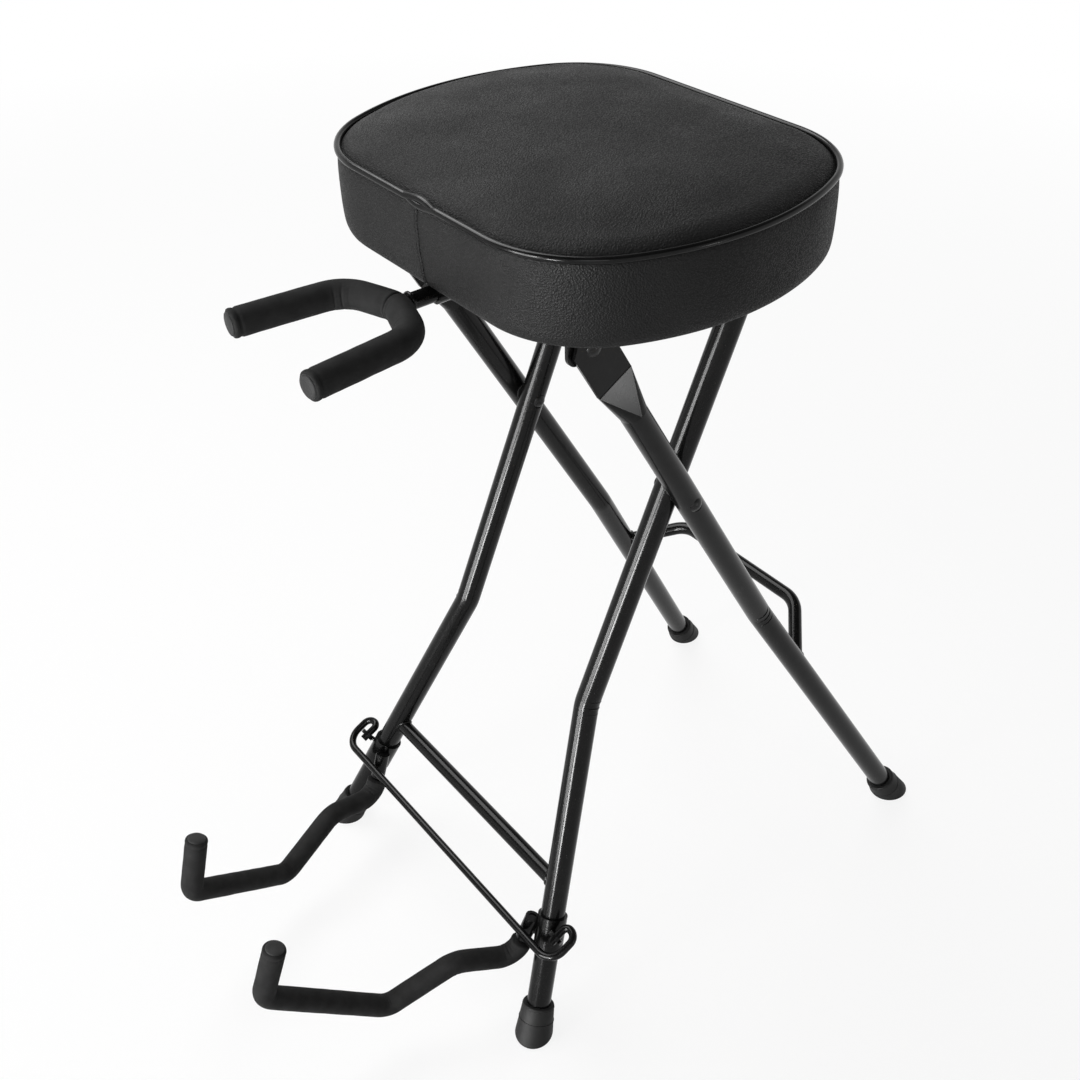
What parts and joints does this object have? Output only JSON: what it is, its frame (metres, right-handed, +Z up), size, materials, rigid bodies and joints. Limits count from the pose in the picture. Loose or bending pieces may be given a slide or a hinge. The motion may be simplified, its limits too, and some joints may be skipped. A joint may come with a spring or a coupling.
{
  "type": "folding guitar stool",
  "caption": "Folding stool with a padded seat on crossed tube legs, a foam-covered yoke that holds a guitar's neck and swivelling cradle arms that hold its body.",
  "frame": {"origin": "floor level, under the middle of the overall length and width", "axes": "+Z up, +X from the guitar side toward the footrest side, +Y toward the far side"},
  "size_m": [0.7362, 0.3674, 0.762],
  "materials": {
    "gloss_black_steel": "gloss",
    "black_rubber": "matte",
    "black_foam": "matte",
    "black_hardware": "satin",
    "black_nylon": "matte",
    "black_leatherette": "satin",
    "black_piping": "gloss",
    "plywood": "matte"
  },
  "bodies": {
    "outer_frame": {"outer_leg_near": "gloss_black_steel", "outer_leg_far": "gloss_black_steel", "outer_foot_near": "black_rubber", "outer_foot_far": "black_rubber", "footrest_bar": "gloss_black_steel", "scissor_rivets": "black_hardware", "scissor_spacers": "black_nylon"},
    "inner_frame": {"inner_frame_tube": "gloss_black_steel", "lower_crossbar": "gloss_black_steel", "inner_foot_near": "black_rubber", "inner_foot_far": "black_rubber", "collar_near": "gloss_black_steel", "collar_far": "gloss_black_steel", "collar_screws": "black_hardware", "tie_wire": "gloss_black_steel"},
    "seat": {"seat_cushion": "black_leatherette", "seat_piping": "black_piping", "seat_board": "plywood", "hinge_bracket_near": "gloss_black_steel", "hinge_bracket_far": "gloss_black_steel", "hinge_bolts": "black_hardware", "hinge_nuts": "black_hardware", "hinge_washers": "black_nylon", "catch_near": "gloss_black_steel", "catch_far": "gloss_black_steel", "seat_screws": "black_hardware", "yoke_guide": "gloss_black_steel"},
    "yoke": {"yoke_tube": "gloss_black_steel", "yoke_rod": "gloss_black_steel", "yoke_foam_near": "black_foam", "yoke_foam_far": "black_foam", "yoke_plug_near": "black_foam", "yoke_plug_far": "black_foam", "yoke_stop_pin": "black_hardware"},
    "arm_near": {"arm_rod_near": "gloss_black_steel", "arm_foam_near": "black_foam", "arm_plug_near": "black_foam"},
    "arm_far": {"arm_rod_far": "gloss_black_steel", "arm_foam_far": "black_foam", "arm_plug_far": "black_foam"}
  },
  "joints": [
    {"name": "leg_fold", "type": "hinge", "parent": "outer_frame", "child": "inner_frame", "pos_m": [0.0372, 0, 0.488], "axis": [0, -1, 0], "range_deg": [0, 40]},
    {"name": "seat_fold", "type": "hinge", "parent": "outer_frame", "child": "seat", "pos_m": [-0.06918, 0, 0.65499], "axis": [0, -1, 0], "range_deg": [0, 120]},
    {"name": "yoke_slide", "type": "slide", "parent": "seat", "child": "yoke", "axis": [-0.9986, 0, -0.0523], "range_m": [0, 0.05]},
    {"name": "arm_swivel_near", "type": "hinge", "parent": "inner_frame", "child": "arm_near", "pos_m": [-0.12699, -0.12555, 0.093], "axis": [0.3477, -0.0867, 0.9336], "range_deg": [-12, 70]},
    {"name": "arm_swivel_far", "type": "hinge", "parent": "inner_frame", "child": "arm_far", "pos_m": [-0.12699, 0.12555, 0.093], "axis": [-0.3477, -0.0867, -0.9336], "range_deg": [-12, 70]}
  ],
  "couplings": [
    {"joint": "seat_fold", "follows": "leg_fold", "ratio": 3}
  ]
}
